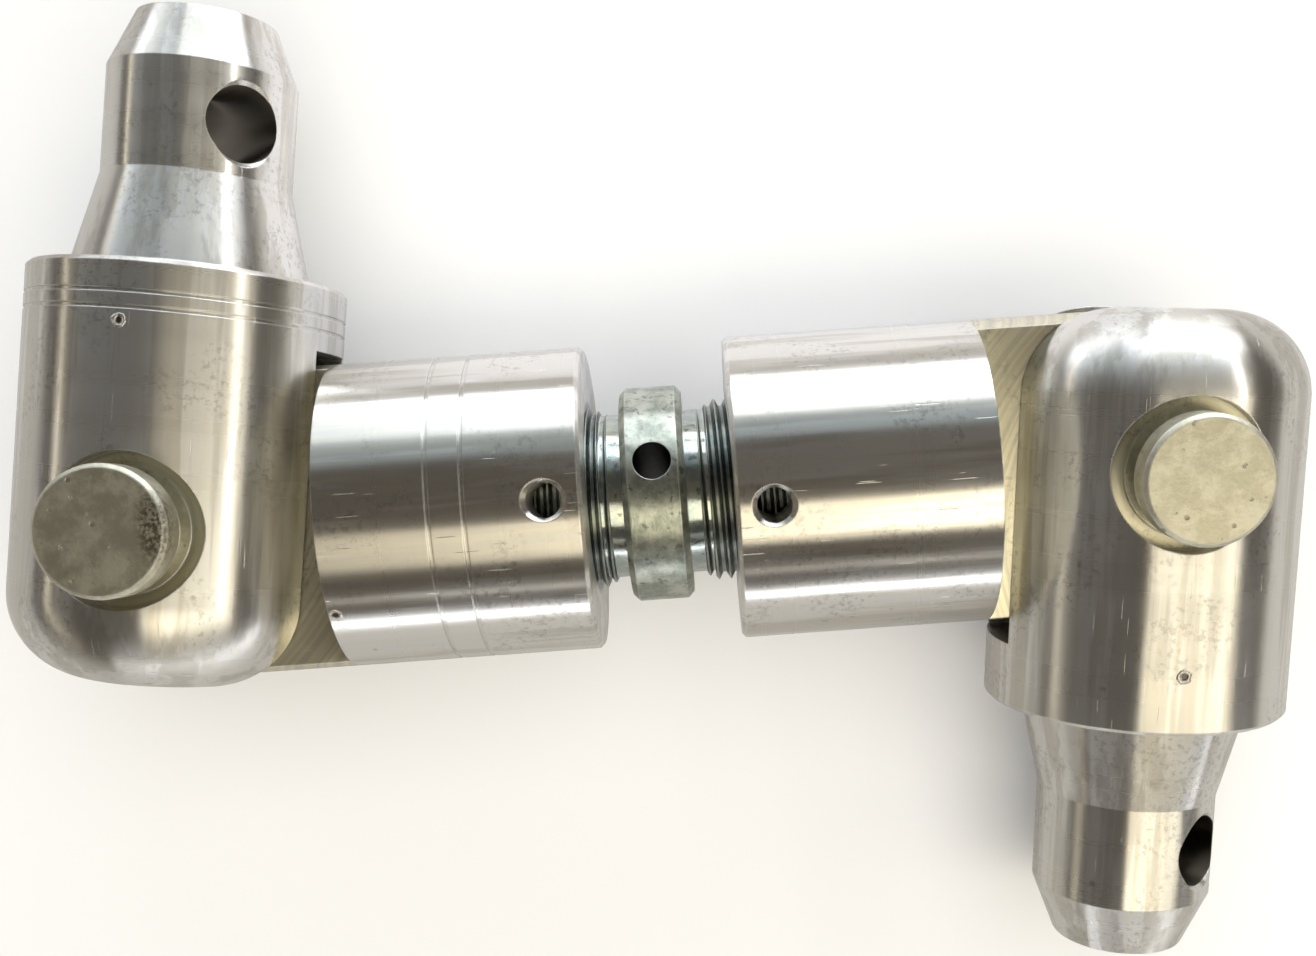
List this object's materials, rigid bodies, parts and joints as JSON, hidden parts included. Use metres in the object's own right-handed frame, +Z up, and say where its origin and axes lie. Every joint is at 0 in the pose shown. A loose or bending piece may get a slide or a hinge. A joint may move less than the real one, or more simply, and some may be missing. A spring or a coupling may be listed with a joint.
{
  "type": "adjustable angle coupling",
  "caption": "Adjustable angle coupling with hinged forks and conical cross-drilled spigots, joined through threaded bar ends by a spindle with opposite threads and a round collar.",
  "frame": {"origin": "middle of the base of the coupling's bounding box, under the spindle, as the coupling lies on its hinge pins", "axes": "+X along the spindle towards the right fork, +Y towards the left fork's spigot, +Z up along the left hinge pin"},
  "size_m": [0.2119, 0.1676, 0.0661],
  "materials": {
    "turned_aluminium": "satin",
    "zinc_plated_steel": "satin",
    "pin_steel": "matte"
  },
  "bodies": {
    "spindle": {"adjusting_spindle": "zinc_plated_steel"},
    "bar_end_left": {"tongue_left": "turned_aluminium"},
    "bar_end_right": {"tongue_right": "turned_aluminium"},
    "fork_left_arm": {"fork_left": "turned_aluminium", "hinge_pin_left": "pin_steel"},
    "fork_right_arm": {"fork_right": "turned_aluminium", "hinge_pin_right": "pin_steel"}
  },
  "joints": [
    {"name": "adjust_left", "type": "slide", "parent": "spindle", "child": "bar_end_left", "axis": [-1, 0, 0], "range_m": [-0.005, 0.012]},
    {"name": "adjust_right", "type": "slide", "parent": "spindle", "child": "bar_end_right", "axis": [1, 0, 0], "range_m": [-0.005, 0.012]},
    {"name": "hinge_left", "type": "hinge", "parent": "bar_end_left", "child": "fork_left_arm", "pos_m": [-0.08093, -0.00001, 0.03306], "axis": [0, 0, 1], "range_deg": [-2.5, 199.1]},
    {"name": "hinge_right", "type": "hinge", "parent": "bar_end_right", "child": "fork_right_arm", "pos_m": [0.08147, -0.00001, 0.03306], "axis": [0, -0.1323, 0.9912], "range_deg": [-5.7, 195.9]}
  ],
  "couplings": [
    {"joint": "adjust_right", "follows": "adjust_left", "ratio": 1}
  ]
}
